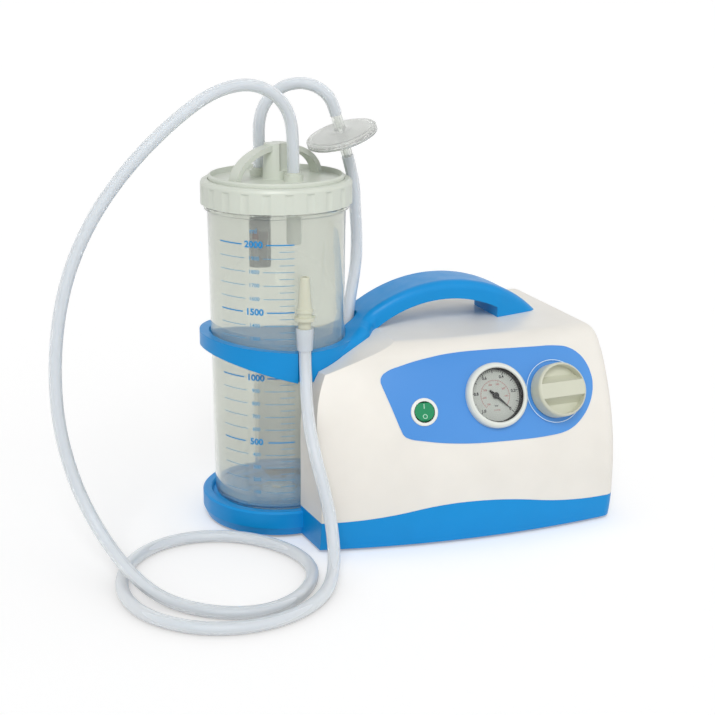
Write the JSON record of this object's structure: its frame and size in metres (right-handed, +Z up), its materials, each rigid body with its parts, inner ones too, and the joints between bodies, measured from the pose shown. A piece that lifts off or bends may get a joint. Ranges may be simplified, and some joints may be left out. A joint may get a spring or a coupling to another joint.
{
  "type": "portable suction unit with suction canister",
  "caption": "Portable suction unit: a pump housing with gauge, regulator and switch, and a clear collection jar seated in its tray and ring, with lid, filter and hoses.",
  "frame": {"origin": "on the ground under the middle of the unit without its hoses", "axes": "+X along the unit towards the panel's right, -Y the panel side, +Z up"},
  "size_m": [0.4661, 0.2962, 0.3765],
  "materials": {
    "blue_plastic": "moulded, satin",
    "black_rubber": "matt rubber",
    "steel": "plain",
    "white_plastic": "fine moulded texture",
    "label_film": "printed film, satin",
    "black_plastic": "moulded",
    "dial_face": "printed",
    "needle_black": "painted",
    "clear_lens": "clear",
    "bezel_white": "moulded, glossy",
    "brass_fitting": "turned",
    "knob_plastic": "moulded, satin",
    "green_lamp": "tinted translucent",
    "clear_jar": "clear moulded",
    "lid_plastic": "moulded, satin",
    "red_rubber": "soft",
    "filter_plastic": "translucent",
    "membrane": "felted",
    "silicone": "translucent silicone",
    "connector_plastic": "moulded",
    "motor_alloy": "die cast"
  },
  "bodies": {
    "unit": {"base_tray": "blue_plastic", "rubber_feet": "black_rubber", "base_screws": "steel", "housing_cover": "white_plastic", "panel_label": "label_film", "carry_handle": "blue_plastic", "gauge_case": "black_plastic", "gauge_dial": "dial_face", "gauge_lens": "clear_lens", "gauge_bezel": "bezel_white", "gauge_stem": "brass_fitting", "regulator_valve": "brass_fitting", "switch_body": "bezel_white", "canister_jar": "clear_jar", "lid_gasket": "silicone", "lid_plate": "lid_plastic", "float_cage": "lid_plastic", "filter_upper_shell": "filter_plastic", "filter_lower_shell": "filter_plastic", "filter_membrane": "membrane", "patient_hose": "silicone", "filter_hose_upper": "silicone", "filter_hose_lower": "silicone", "vacuum_inlet": "lid_plastic", "hose_cuff": "silicone", "hose_connector": "connector_plastic", "mounting_plate": "steel", "rubber_mounts": "black_rubber", "motor_frame": "motor_alloy", "motor_stator": "steel", "bearing_front": "steel", "bearing_rear": "steel", "pump_crankcase": "motor_alloy", "pump_cylinder": "motor_alloy", "pump_head": "motor_alloy", "power_inlet": "black_plastic", "exhaust_silencer": "black_plastic"},
    "knob": {"regulator_knob": "knob_plastic", "regulator_spindle": "steel"},
    "needle": {"gauge_needle": "needle_black"},
    "rocker": {"switch_rocker": "green_lamp"},
    "screw_ring": {"lid_ring": "lid_plastic"},
    "float": {"valve_float": "lid_plastic", "float_cap": "red_rubber"},
    "rotor": {"rotor_shaft": "steel", "cooling_fan": "black_plastic"},
    "piston": {"rocking_piston": "motor_alloy"}
  },
  "joints": [
    {"name": "knob_turn", "type": "hinge", "parent": "unit", "child": "knob", "pos_m": [0.1075, -0.08238, 0.119], "axis": [-0.0503, 0.9172, -0.3953], "range_deg": [0, 270]},
    {"name": "needle_swing", "type": "hinge", "parent": "unit", "child": "needle", "pos_m": [0.0537, -0.08238, 0.1209], "axis": [-0.0218, -0.9142, 0.4048], "range_deg": [0, 270], "stiffness_Nm_per_rad": 0.0005},
    {"name": "rocker_tilt", "type": "hinge", "parent": "unit", "child": "rocker", "pos_m": [-0.00934, -0.07895, 0.11232], "axis": [0.9933, -0.1159, 0], "range_deg": [0, 14]},
    {"name": "ring_screw", "type": "hinge", "parent": "unit", "child": "screw_ring", "pos_m": [-0.1, 0.024, 0.2825], "axis": [0, 0, 1], "range_deg": [0, 60]},
    {"name": "float_rise", "type": "slide", "parent": "unit", "child": "float", "axis": [0, 0, 1], "range_m": [0, 0.01]},
    {"name": "rotor_spin", "type": "hinge", "parent": "unit", "child": "rotor", "pos_m": [0.06, 0.03, 0.062], "axis": [1, 0, 0], "continuous": true},
    {"name": "piston_stroke", "type": "slide", "parent": "unit", "child": "piston", "axis": [0, 0, 1], "range_m": [0, 0.006]}
  ]
}
